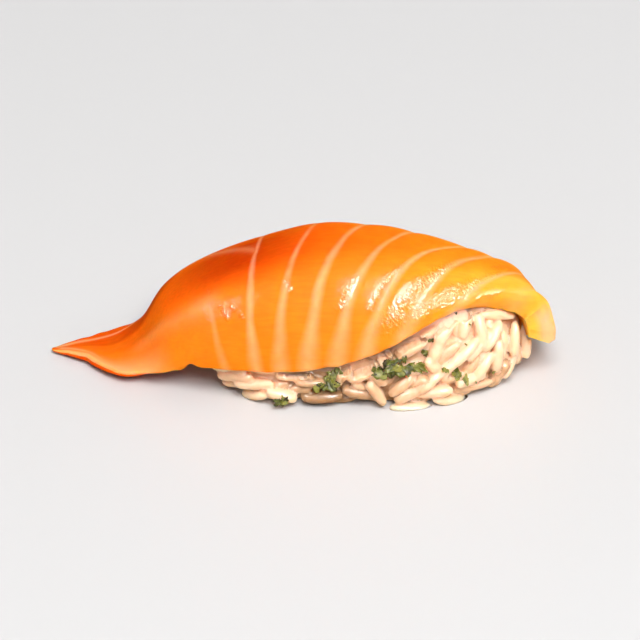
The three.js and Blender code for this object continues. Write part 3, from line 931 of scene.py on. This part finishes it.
def unit_grain():
    """A grain of length 2 and thickness 2 along X: blunt at both ends and thicker towards one."""
    bm = bmesh.new()
    bmesh.ops.create_uvsphere(bm, u_segments=GRAIN_SIDES[0], v_segments=GRAIN_SIDES[1], radius=1.0)
    for vert in bm.verts:
        side_a, side_b, along = vert.co
        round_off = sqrt(max(0.0, 1 - along * along))
        blunt = round_off ** (GRAIN_BLUNTNESS - 1) * (1 - 0.1 * along) if round_off > 1e-3 else 0.0
        length = abs(along) ** 0.8 * (1 if along > 0 else -1)
        vert.co = (length, side_a * blunt, side_b * blunt)
    mesh = bpy.data.meshes.new("unit_grain")
    bm.to_mesh(mesh)
    bm.free()
    return mesh


def shape_grain(verts, grain):
    """Gives a unit grain its size, place and bow."""
    turned = Vector((1, 0, 0)).rotation_difference(grain.axis)
    thick = grain.thick
    for vert in verts:
        along, side_a, side_b = vert.co
        bowed = side_a * thick / 2 + grain.bow * (along * along - 0.4)
        place = grain.middle + turned @ Vector((along * grain.long / 2, bowed, side_b * thick * 0.46))
        vert.co = place + 0.07 * noise.noise_vector(place / 1.4)


def add_core(bm):
    """The mass of rice behind the grains."""
    made = bmesh.ops.create_icosphere(bm, subdivisions=CORE_DETAIL, radius=1.0)
    for vert in made["verts"]:
        vert.co = LOAF_PLACE @ loaf_point(vert.co.normalized(), CORE_INSET)
        vert.co.z = max(vert.co.z, FLOOR_GAP)


def melded(bm):
    """The outer skin of the grains and the core, with the creases between them filled a little."""
    mesh = bpy.data.meshes.new("loose_grains")
    bm.to_mesh(mesh)
    bm.free()
    grains = bpy.data.objects.new("loose_grains", mesh)
    bpy.context.scene.collection.objects.link(grains)
    remesh = grains.modifiers.new("meld", "REMESH")
    remesh.mode = "VOXEL"
    remesh.voxel_size = MELD_SIZE
    thin = grains.modifiers.new("thin", "DECIMATE")
    fine = grains.evaluated_get(bpy.context.evaluated_depsgraph_get())
    thin.ratio = min(1.0, MELD_FACES / (2 * len(fine.data.polygons)))
    evaluated = grains.evaluated_get(bpy.context.evaluated_depsgraph_get())
    skin = bmesh.new()
    skin.from_mesh(evaluated.to_mesh())
    evaluated.to_mesh_clear()
    bpy.data.objects.remove(grains)
    bpy.data.meshes.remove(mesh)
    skin.normal_update()
    return skin


def owner_and_seam(tree, grains, point):
    """Which grain a point of the skin is on, and how near the point is to a seam between two."""
    off = {}
    for _, i, distance in tree.find_n(point, 10):
        off[i] = min(off.get(i, distance), distance - grains[i].thick / 2)
    ranked = sorted(off, key=off.get)
    if len(ranked) == 1:
        return ranked[0], off[ranked[0]], 0.0
    return ranked[0], off[ranked[0]], hill(off[ranked[1]] - off[ranked[0]], 0, SEAM_REACH)


def rice_bmesh(grains, press, loaf_tree):
    """The rice as one moist mass, with each place's shade, and painted shade by how deep in a gap or seam it is
    and where the slice squeezes it.
    """
    bm = bmesh.new()
    unit = unit_grain()
    each = len(unit.vertices)
    for _ in grains:
        bm.from_mesh(unit)
    bpy.data.meshes.remove(unit)
    bm.verts.ensure_lookup_table()
    for i, grain in enumerate(grains):
        shape_grain(bm.verts[i * each : (i + 1) * each], grain)
    add_core(bm)
    tree = KDTree(len(grains) * len(SKIN_BEADS))
    for i, grain in enumerate(grains):
        for share in SKIN_BEADS:
            tree.insert(grain.middle + grain.axis * (grain.long * share), i)
    tree.balance()
    skin = melded(bm)
    shade_layer = skin.verts.layers.float.new("grain_shade")
    gap_shade_layer = skin.verts.layers.float.new("grain_gap")
    for vert in skin.verts:
        owner, off, seam = owner_and_seam(tree, grains, vert.co)
        on_core = smoothstep(off, 0.15, 0.5)
        found, normal, _, _ = loaf_tree.find_nearest(vert.co)
        sunk = smoothstep((found - vert.co).dot(normal), -0.4, 1.3)
        shade = lerp(grains[owner].shade, CORE_SHADE, on_core)
        # painted light and shade along the loaf
        vert[shade_layer] = shade + profile_at(PAINTED_LIGHT_ALONG, vert.co.x)
        # painted shade in the seams between grains and in the gaps
        vert[gap_shade_layer] = max(seam * 0.6, sunk)
        loose = vert.co - vert.normal * (SEAM_DEPTH * seam)
        place = press.pressed(loose)
        # painted shade, as a contact shadow, where the slice squeezes the rice
        squeezed = smoothstep((place - loose).length, 0.0, 0.5)
        vert[gap_shade_layer] = max(vert[gap_shade_layer], squeezed * 0.6)
        place.z = max(place.z, FLOOR_GAP)
        vert.co = place * MM
    return skin


def cooked_rice(settings):
    """Short-grain rice, cooked and seasoned. The grains are moist and slightly see-through, so light spreads
    inside them; each has its own shade, from white to light brown, with painted light and shade along the loaf;
    and the sticky gaps and seams between them, and the rice squeezed under the slice, are painted browner, as
    painted shade where light only reaches them through the grains."""
    material, tree, output = new_material("cooked_rice")
    place = add_node(tree, "ShaderNodeTexCoord").outputs["Object"]
    shade = add_node(tree, "ShaderNodeAttribute", attribute_name="grain_shade").outputs["Fac"]
    gap = add_node(tree, "ShaderNodeAttribute", attribute_name="grain_gap").outputs["Fac"]
    cloud = add_node(
        tree, "ShaderNodeTexNoise", {"Vector": place, "Scale": per_mm(1.6), "Detail": 2.0}
    ).outputs["Fac"]
    mixed = add_node(
        tree, "ShaderNodeMath", {0: cloud, 1: 0.5, 2: shade}, operation="MULTIPLY_ADD"
    ).outputs[0]
    # painted shade: browner in gaps, seams and squeezed places
    sunk = add_node(
        tree,
        "ShaderNodeMapRange",
        {"Value": gap, "To Min": 0.15, "To Max": 0.5},
    ).outputs["Result"]
    tone = add_node(tree, "ShaderNodeMath", {0: mixed, 1: sunk}, operation="SUBTRACT").outputs[0]
    tones = add_node(tree, "ShaderNodeValToRGB", {"Fac": tone})
    set_ramp(
        tones,
        [(0.0, settings.brown_colour), (0.45, settings.cream_colour), (1.0, settings.white_colour)],
    )
    skin = add_node(
        tree, "ShaderNodeTexNoise", {"Vector": place, "Scale": per_mm(0.5), "Detail": 2.0}
    ).outputs["Fac"]
    relief = add_node(
        tree, "ShaderNodeBump", {"Height": skin, "Strength": 0.6, "Distance": 0.14 * MM}
    ).outputs["Normal"]
    moist = add_node(
        tree, "ShaderNodeMapRange", {"Value": gap, "From Max": 0.5, "To Min": 0.4, "To Max": 0.0}
    ).outputs["Result"]
    shader = add_node(
        tree,
        "ShaderNodeBsdfPrincipled",
        {
            "Base Color": tones.outputs["Color"],
            "Roughness": 0.42,
            "IOR": 1.4,
            "Subsurface Weight": 1.0,
            "Subsurface Radius": (1.0, 0.8, 0.6),
            "Subsurface Scale": 1.8 * MM,
            "Coat Weight": moist,
            "Coat Roughness": 0.1,
            "Normal": relief,
        },
    )
    tree.links.new(shader.outputs["BSDF"], output.inputs["Surface"])
    return material


# ---- The chopped leaf ----

# Bits of leaf on the near side, placed like the grains there: x along and h up the sight, length and
# height, turn in degrees, and how dark the bit is, from 0 for light green to 1 for nearly black.
LeafBit = namedtuple("LeafBit", "x h long high turn dark")
LEAF_BITS = [
    LeafBit(-4.0, -6.5, 3.4, 1.5, 6, 0.25),
    LeafBit(3.6, -3.9, 7.0, 1.9, 8, 0.3),
    LeafBit(4.9, -3.6, 3.4, 1.3, 6, 0.6),
    LeafBit(5.0, -2.0, 4.2, 2.0, 30, 0.35),
    LeafBit(15.8, -1.1, 12.0, 2.6, 8, 0.25),
    LeafBit(15.2, 0.3, 7.0, 1.0, 14, 0.6),
    LeafBit(24.5, -1.0, 1.4, 1.2, 10, 0.1),
    LeafBit(26.7, -1.7, 2.8, 2.0, -20, 0.05),
    LeafBit(28.0, -2.7, 2.0, 1.0, 30, 0.15),
    LeafBit(21.9, 4.1, 1.5, 0.7, -10, 0.5),
    LeafBit(21.0, 1.9, 1.6, 1.0, 20, 0.5),
    LeafBit(26.4, 8.7, 0.6, 0.3, 40, 0.4),
    LeafBit(28.1, 3.3, 0.7, 0.3, 30, 0.3),
    LeafBit(33.0, -1.5, 0.6, 0.3, 50, 0.2),
    LeafBit(29.9, -3.2, 0.5, 0.3, 0, 0.3),
    LeafBit(28.7, 6.8, 0.5, 0.3, 10, 0.3),
]
FLAKE_STEPS = (8, 5)
FLAKE_SIZE = 2.4  # the longest that a scrap of chopped leaf gets
FLAKE_COVER = 5.0  # how many times over the scraps cover their bit
FLAKE_DARKNESS_SPREAD = 0.35
LEAF_STAND = 0.1  # off what a scrap lies on
LEAF_TILT = 0.4  # how far a scrap tips off the grain under it
LEAF_CURL = 0.35
LEAF_CRUMPLE = 0.25
LEAF_RAGGEDNESS = 0.8  # of a scrap's outline
LEAF_SLIMNESS = (0.35, 0.7)  # of a scrap's length, that it is wide
LEAF_WALL = 0.12


def unit_scrap():
    """A flat, square scrap of leaf, 2 wide both ways and as thick as the leaf."""
    bm = bmesh.new()
    bmesh.ops.create_grid(bm, x_segments=FLAKE_STEPS[0], y_segments=FLAKE_STEPS[1], size=1.0)
    made = bmesh.ops.extrude_face_region(bm, geom=bm.faces[:])
    lower = [item for item in made["geom"] if isinstance(item, bmesh.types.BMVert)]
    bmesh.ops.translate(bm, verts=lower, vec=(0, 0, -LEAF_WALL))
    bmesh.ops.recalc_face_normals(bm, faces=bm.faces[:])
    mesh = bpy.data.meshes.new("unit_scrap")
    bm.to_mesh(mesh)
    bm.free()
    return mesh


Scrap = namedtuple("Scrap", "middle facing size dark")


def shape_scrap(verts, draw, scrap, dark_layer):
    """Gives a unit scrap its size, place and crumpled form. Its ragged outline depends only on the
    direction from its middle, so that it never folds over itself."""
    tip = Vector([draw.uniform(-1, 1) for _ in range(3)]) * LEAF_TILT
    outward = (scrap.facing + tip).normalized()
    turned = outward.to_track_quat("Z", "Y") @ Quaternion((0, 0, 1), draw.uniform(0, 2 * pi))
    phase, curl = draw.uniform(0, 40), LEAF_CURL * draw.uniform(-1, 1)
    width = scrap.size * draw.uniform(*LEAF_SLIMNESS)
    for vert in verts:
        u, v, layer = vert.co
        ray = Vector((u, v, 0)).normalized()
        ragged = 1 + LEAF_RAGGEDNESS * noise.noise(ray * 1.9 + Vector((phase, 0, phase)))
        rounded = sqrt(1 - v * v / 2), sqrt(1 - u * u / 2)
        lift = curl * (u * u - 0.4) + layer
        lift += LEAF_CRUMPLE * noise.noise(Vector((u * 1.4 + phase, v * 1.4, 0)))
        lengthwise = u * rounded[0] * scrap.size / 2 * ragged
        crosswise = v * rounded[1] * width / 2 * ragged
        vert.co = scrap.middle + turned @ Vector((lengthwise, crosswise, lift))
        vert.co.z = max(vert.co.z, FLOOR_GAP)
        vert[dark_layer] = scrap.dark


def laid_on(rice_tree, aim, sight, reach):
    """Where a scrap comes to lie on the grains when it is laid there along the sight: as high as the
    highest of the grains that it reaches."""
    hits = []
    for side in (0, -1, 1):
        start = aim + reach * side - sight * 60
        found, normal, _, distance = rice_tree.ray_cast(start, sight)
        if found is not None:
            hits.append((distance, normal))
    if not hits:
        found, normal, _, _ = rice_tree.find_nearest(aim)
        return found, normal
    distance, normal = min(hits, key=lambda hit: hit[0])
    return aim + sight * (distance - 60), normal


def leaf_bmesh(settings, rice_tree):
    """The chopped leaf: each bit is a loose cluster of scraps, laid on the grains along the sight."""
    draw = random.Random(settings.seed)
    up = Vector((0, sin(FRONT_TILT), cos(FRONT_TILT)))
    sight = Vector((0, cos(FRONT_TILT), -sin(FRONT_TILT)))
    scraps = []
    for bit in LEAF_BITS:
        start = Vector((bit.x, 0, 0)) + up * bit.h
        turn = radians(bit.turn)
        lengthwise = Vector((cos(turn), 0, 0)) + up * sin(turn)
        upwards = Vector((-sin(turn), 0, 0)) + up * cos(turn)
        largest = min(FLAKE_SIZE, bit.long)
        for _ in range(max(1, round(FLAKE_COVER * bit.long * bit.high / largest**2))):
            reach, around = sqrt(draw.random()), draw.uniform(0, 2 * pi)
            size = largest * draw.uniform(0.6, 1.0)
            aim = start + lengthwise * (reach * cos(around) * max(0.0, bit.long - size) / 2)
            aim += upwards * (reach * sin(around) * max(0.0, bit.high - size * 0.6) / 2)
            found, normal = laid_on(rice_tree, aim, sight, lengthwise * (size / 3))
            dark = bit.dark + FLAKE_DARKNESS_SPREAD * draw.uniform(-1, 1)
            stand = LEAF_STAND * draw.uniform(0.5, 3.0)
            facing = (normal * 0.6 - sight).normalized()
            scraps.append(Scrap(found + facing * stand, facing, size, dark))
    bm = bmesh.new()
    unit = unit_scrap()
    each = len(unit.vertices)
    for _ in scraps:
        bm.from_mesh(unit)
    bpy.data.meshes.remove(unit)
    dark_layer = bm.verts.layers.float.new("leaf_dark")
    bm.verts.ensure_lookup_table()
    for i, scrap in enumerate(scraps):
        shape_scrap(bm.verts[i * each : (i + 1) * each], draw, scrap, dark_layer)
    bmesh.ops.scale(bm, verts=bm.verts[:], vec=(MM, MM, MM))
    return bm


def chopped_leaf(settings):
    """Chopped green leaf, wilted in the warm rice: thin and moist, with yellow-green patches painted as light
    coming through, and brown-black in its darker bits and patches."""
    material, tree, output = new_material("chopped_leaf")
    place = add_node(tree, "ShaderNodeTexCoord").outputs["Object"]
    dark = add_node(tree, "ShaderNodeAttribute", attribute_name="leaf_dark").outputs["Fac"]
    mottle = add_node(
        tree, "ShaderNodeTexNoise", {"Vector": place, "Scale": per_mm(0.9), "Detail": 4.0}
    ).outputs["Fac"]
    mixed = add_node(
        tree, "ShaderNodeMath", {0: mottle, 1: 1.3, 2: dark}, operation="MULTIPLY_ADD"
    ).outputs[0]
    tone = add_node(tree, "ShaderNodeMath", {0: mixed, 1: 0.6}, operation="SUBTRACT").outputs[0]
    tones = add_node(tree, "ShaderNodeValToRGB", {"Fac": tone})
    set_ramp(
        tones,
        [
            (0.0, settings.light_colour),
            (0.4, settings.green_colour),
            (0.75, settings.dark_olive_colour),
            (1.0, to_linear("21170b")),
        ],
    )
    relief = add_node(
        tree, "ShaderNodeBump", {"Height": mottle, "Strength": 0.8, "Distance": 0.25 * MM}
    ).outputs["Normal"]
    shader = add_node(
        tree,
        "ShaderNodeBsdfPrincipled",
        {
            "Base Color": tones.outputs["Color"],
            "Roughness": 0.55,
            "Specular IOR Level": 0.25,
            "Subsurface Weight": 0.25,
            "Subsurface Radius": (0.6, 1.0, 0.3),
            "Subsurface Scale": 0.5 * MM,
            "Coat Weight": 0.12,
            "Coat Roughness": 0.12,
            "Normal": relief,
        },
    )
    tree.links.new(shader.outputs["BSDF"], output.inputs["Surface"])
    return material


# ---- The stage ----

VIEW_AIM = Vector((2.88, 0.0, 9.02)) * MM
VIEW_TILT = radians(33)
KEY_FROM = Vector((0.12, -0.57, 0.81)).normalized()
GLINT_FROM = Vector((0.3, -0.74, 0.6)).normalized()
LEFT_GLINT_FROM = Vector((-0.62, -0.44, 0.65)).normalized()
LEFT_GLINT_SHARE = 0.4  # of the glint's power
SIDE_FROM = Vector((0.72, 0.0, 0.69)).normalized()


def glazed_floor(settings):
    """A pale, evenly glazed surface: a soft, faint shine over near-white."""
    material, tree, output = new_material("pale_glaze")
    shader = add_node(
        tree,
        "ShaderNodeBsdfPrincipled",
        {"Base Color": settings.floor_colour, "Roughness": 0.45, "Specular IOR Level": 0.3},
    )
    tree.links.new(shader.outputs["BSDF"], output.inputs["Surface"])
    return material


def add_area_light(name, direction, distance, size, watts):
    light = bpy.data.lights.new(name, "AREA")
    light.shape = "DISK"
    light.size = size
    light.energy = watts
    lamp = bpy.data.objects.new(name, light)
    lamp.location = VIEW_AIM + direction * distance
    lamp.rotation_mode = "QUATERNION"
    lamp.rotation_quaternion = direction.to_track_quat("Z", "Y")
    bpy.context.scene.collection.objects.link(lamp)
    return lamp


# ---- Settings ----


def colour_setting(name, description, code):
    return FloatVectorProperty(
        name=name, description=description, subtype="COLOR", size=4, min=0, max=1, default=to_linear(code)
    )


def length_setting(name, description, millimetres):
    return FloatProperty(
        name=name, description=description, unit="LENGTH", precision=5, min=0, default=millimetres * MM
    )


class FleshSettings(bpy.types.PropertyGroup):
    """The slice of salmon"""

    # Deep is the red that painted shade reaches on the back of the shoulder and under the tail; Light and Amber
    # are partly painted light towards the brightly lit end
    deep_colour: colour_setting("Deep", "The deepest red, on the shoulder", "be3b04")
    red_colour: colour_setting("Red", "Flesh near the shoulder", "f2640c")
    orange_colour: colour_setting("Orange", "Flesh at the middle", "f97e16")
    light_colour: colour_setting("Light", "Flesh over the bare end of the rice", "fb9424")
    amber_colour: colour_setting("Amber", "Flesh at the hanging end", "febc48")
    # Fat is also the colour of the painted light and the painted highlights
    fat_colour: colour_setting("Fat", "The pale lines of fat", "ffc08a")
    light_depth: length_setting("Light depth", "How far red light goes into the flesh", 3.0)


class RiceSettings(bpy.types.PropertyGroup):
    """The grains of rice"""

    grain_length: length_setting("Length", "Mean length of a cooked grain", 6.4)
    grain_thickness: length_setting("Thickness", "Mean thickness of a cooked grain", 2.3)
    seed: IntProperty(name="Seed", description="Changes how the scattered grains fall", default=11)
    white_colour: colour_setting("White", "The whitest grains", "f6cfac")
    cream_colour: colour_setting("Cream", "Grains of the middle shade", "deb28c")
    # Brown is also the colour of the painted shade in the gaps, seams and squeezed rice
    brown_colour: colour_setting("Brown", "The brownest grains", "a07a54")


class LeafSettings(bpy.types.PropertyGroup):
    """The bits of chopped leaf"""

    seed: IntProperty(name="Seed", description="Changes how the scraps of leaf fall", default=5)
    # Light is painted light, as if light came through the leaf
    light_colour: colour_setting("Light", "Where light comes through the leaf", "8f8832")
    green_colour: colour_setting("Green", "The leaf's own green", "5c6018")
    # the colour of the leaf's darker bits and patches
    dark_olive_colour: colour_setting("Bruised", "Where the leaf is bruised", "3e3614")


class StageSettings(bpy.types.PropertyGroup):
    """Floor, lights and camera"""

    floor_colour: colour_setting("Floor", "The pale surface that it stands on", "cac9c9")
    key_power: FloatProperty(
        name="Key light", description="Soft, from high up in front", unit="POWER", min=0, default=35.0
    )
    side_power: FloatProperty(
        name="Side light", description="Broad, from the right", unit="POWER", min=0, default=7.5
    )
    glint_power: FloatProperty(
        name="Glint", description="Only makes the wet streaks shine", unit="POWER", min=0, default=28.0
    )
    surround: FloatProperty(
        name="Surround", description="Light from the pale room", min=0, default=0.33
    )
    view_distance: length_setting("Camera distance", "From the camera to the nigiri", 1100)
    focal_length: FloatProperty(
        name="Focal length", description="Of the camera, on a 36 mm sensor", unit="CAMERA", default=355
    )


# ---- Operators ----


class NIGIRI_OT_flesh(bpy.types.Operator):
    """Add the slice of salmon with its lines of fat"""

    bl_idname = "nigiri.flesh"
    bl_label = "Salmon Slice"

    def execute(self, context):
        material = raw_salmon(context.scene.nigiri_flesh)
        add_piece(slice_bmesh(), "salmon", material, "salmon_slice")
        return {"FINISHED"}


class NIGIRI_OT_rice(bpy.types.Operator):
    """Add the core of the rice loaf and the grains on it"""

    bl_idname = "nigiri.rice"
    bl_label = "Rice Loaf"

    def execute(self, context):
        settings = context.scene.nigiri_rice
        press = Press()
        loaf = bmesh.new()
        bmesh.ops.create_icosphere(loaf, subdivisions=4, radius=1.0)
        for vert in loaf.verts:
            vert.co = LOAF_PLACE @ loaf_point(vert.co.normalized())
        loaf.normal_update()
        loaf_tree = BVHTree.FromBMesh(loaf)
        loaf.free()
        grains = thrown_grains(settings, front_grains(loaf_tree), press)
        bm = rice_bmesh(grains, press, loaf_tree)
        add_piece(bm, "rice", cooked_rice(settings), "rice_loaf")
        return {"FINISHED"}


class NIGIRI_OT_leaf(bpy.types.Operator):
    """Add the bits of chopped green leaf in the rice"""

    bl_idname = "nigiri.leaf"
    bl_label = "Chopped Leaf"

    def execute(self, context):
        settings = context.scene.nigiri_leaf
        bm = bmesh.new()
        bm.from_mesh(bpy.data.objects["rice"].data)
        bmesh.ops.scale(bm, verts=bm.verts[:], vec=(1 / MM,) * 3)
        rice_tree = BVHTree.FromBMesh(bm)
        bm.free()
        leaf = leaf_bmesh(settings, rice_tree)
        add_piece(leaf, "green_leaf", chopped_leaf(settings), "rice_loaf")
        return {"FINISHED"}


class NIGIRI_OT_stage(bpy.types.Operator):
    """Add the pale floor, the lights and the camera"""

    bl_idname = "nigiri.stage"
    bl_label = "Stage"

    def execute(self, context):
        scene = context.scene
        settings = scene.nigiri_stage
        bm = bmesh.new()
        bmesh.ops.create_grid(bm, x_segments=1, y_segments=1, size=3.0)
        mesh = bpy.data.meshes.new("floor")
        bm.to_mesh(mesh)
        bm.free()
        mesh.materials.append(glazed_floor(settings))
        floor = bpy.data.objects.new("floor", mesh)
        scene.collection.objects.link(floor)
        floor.visible_glossy = False
        key = add_area_light("key", KEY_FROM, 1.6, 0.96, settings.key_power)
        key.visible_glossy = False
        side = add_area_light("side", SIDE_FROM, 1.8, 1.5, settings.side_power)
        side.visible_glossy = False
        glint = add_area_light("glint", GLINT_FROM, 1.0, 0.6, settings.glint_power)
        glint.visible_diffuse = False
        left_power = settings.glint_power * LEFT_GLINT_SHARE
        left_glint = add_area_light("left_glint", LEFT_GLINT_FROM, 1.0, 0.35, left_power)
        left_glint.visible_diffuse = False
        world = bpy.data.worlds.new("pale_room")
        world.use_nodes = True
        background = world.node_tree.nodes["Background"]
        background.inputs["Strength"].default_value = settings.surround
        background.inputs["Color"].default_value = (1.0, 1.0, 1.0, 1.0)
        world.cycles_visibility.glossy = False
        scene.world = world
        scene.view_settings.view_transform = "Standard"
        data = bpy.data.cameras.new("camera")
        data.lens = settings.focal_length
        camera = bpy.data.objects.new("camera", data)
        back = Vector((0, -cos(VIEW_TILT), sin(VIEW_TILT)))
        camera.location = VIEW_AIM + back * settings.view_distance
        camera.rotation_mode = "QUATERNION"
        camera.rotation_quaternion = back.to_track_quat("Z", "Y")
        scene.collection.objects.link(camera)
        scene.camera = camera
        return {"FINISHED"}


class NIGIRI_PT_parts(bpy.types.Panel):
    """The nigiri's pieces and their settings"""

    bl_idname = "NIGIRI_PT_parts"
    bl_label = "Salmon Nigiri"
    bl_space_type = "VIEW_3D"
    bl_region_type = "UI"
    bl_category = "Nigiri"

    def draw(self, context):
        scene = context.scene
        for operator, group in STEPS:
            box = self.layout.box()
            box.operator(operator.bl_idname)
            settings = getattr(scene, group)
            for name in type(settings).__annotations__:
                box.prop(settings, name)


STEPS = (
    (NIGIRI_OT_flesh, "nigiri_flesh"),
    (NIGIRI_OT_rice, "nigiri_rice"),
    (NIGIRI_OT_leaf, "nigiri_leaf"),
    (NIGIRI_OT_stage, "nigiri_stage"),
)
GROUPS = {
    "nigiri_flesh": FleshSettings,
    "nigiri_rice": RiceSettings,
    "nigiri_leaf": LeafSettings,
    "nigiri_stage": StageSettings,
}
CLASSES = (*GROUPS.values(), *(operator for operator, _ in STEPS), NIGIRI_PT_parts)


def register():
    for cls in CLASSES:
        bpy.utils.register_class(cls)
    for name, group in GROUPS.items():
        setattr(bpy.types.Scene, name, PointerProperty(type=group))


def unregister():
    for name in GROUPS:
        delattr(bpy.types.Scene, name)
    for cls in reversed(CLASSES):
        bpy.utils.unregister_class(cls)


def main():
    register()
    bpy.ops.nigiri.flesh()
    bpy.ops.nigiri.rice()
    bpy.ops.nigiri.leaf()
    bpy.ops.nigiri.stage()


if __name__ == "__main__":
    main()
